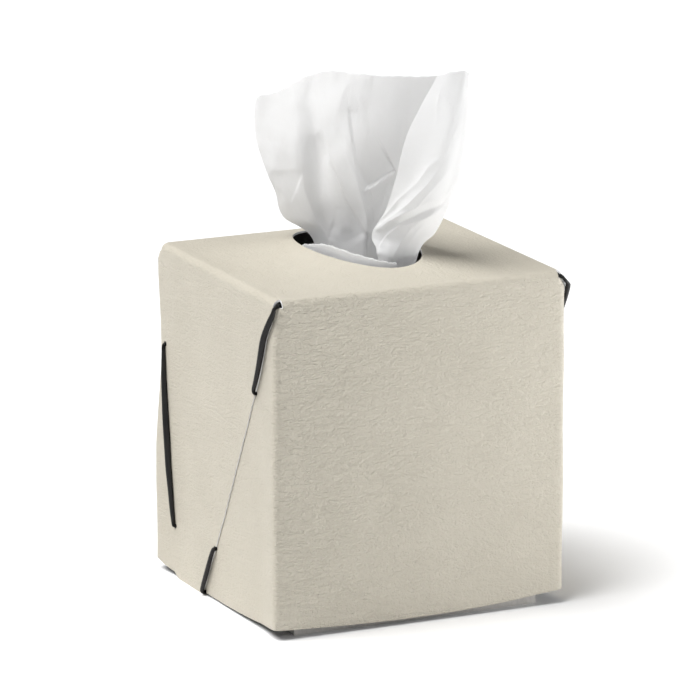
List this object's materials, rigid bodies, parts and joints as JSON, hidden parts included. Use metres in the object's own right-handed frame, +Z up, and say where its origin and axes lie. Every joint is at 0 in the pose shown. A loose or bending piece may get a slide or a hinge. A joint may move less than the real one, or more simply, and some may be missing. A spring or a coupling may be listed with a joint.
{
  "type": "laced tissue box cover with carton",
  "caption": "Cube tissue box cover folded from one leather-look sheet, laced at both sides, over a carton of tissues that come out of an oval hole.",
  "frame": {"origin": "centre of the footprint at table height", "axes": "+Z up, -Y out of the clean front panel, +X to the right as seen from the front"},
  "size_m": [0.135, 0.12, 0.2245],
  "materials": {
    "leather": "satin",
    "lace": "satin",
    "board": "matte",
    "tissue": "matte"
  },
  "bodies": {
    "root": {"cover": "leather", "left_lace": "lace", "right_lace": "lace", "tissue_carton": "board", "tissue_stack": "tissue", "next_tissue": "tissue", "pulled_tissue": "tissue"}
  },
  "joints": []
}
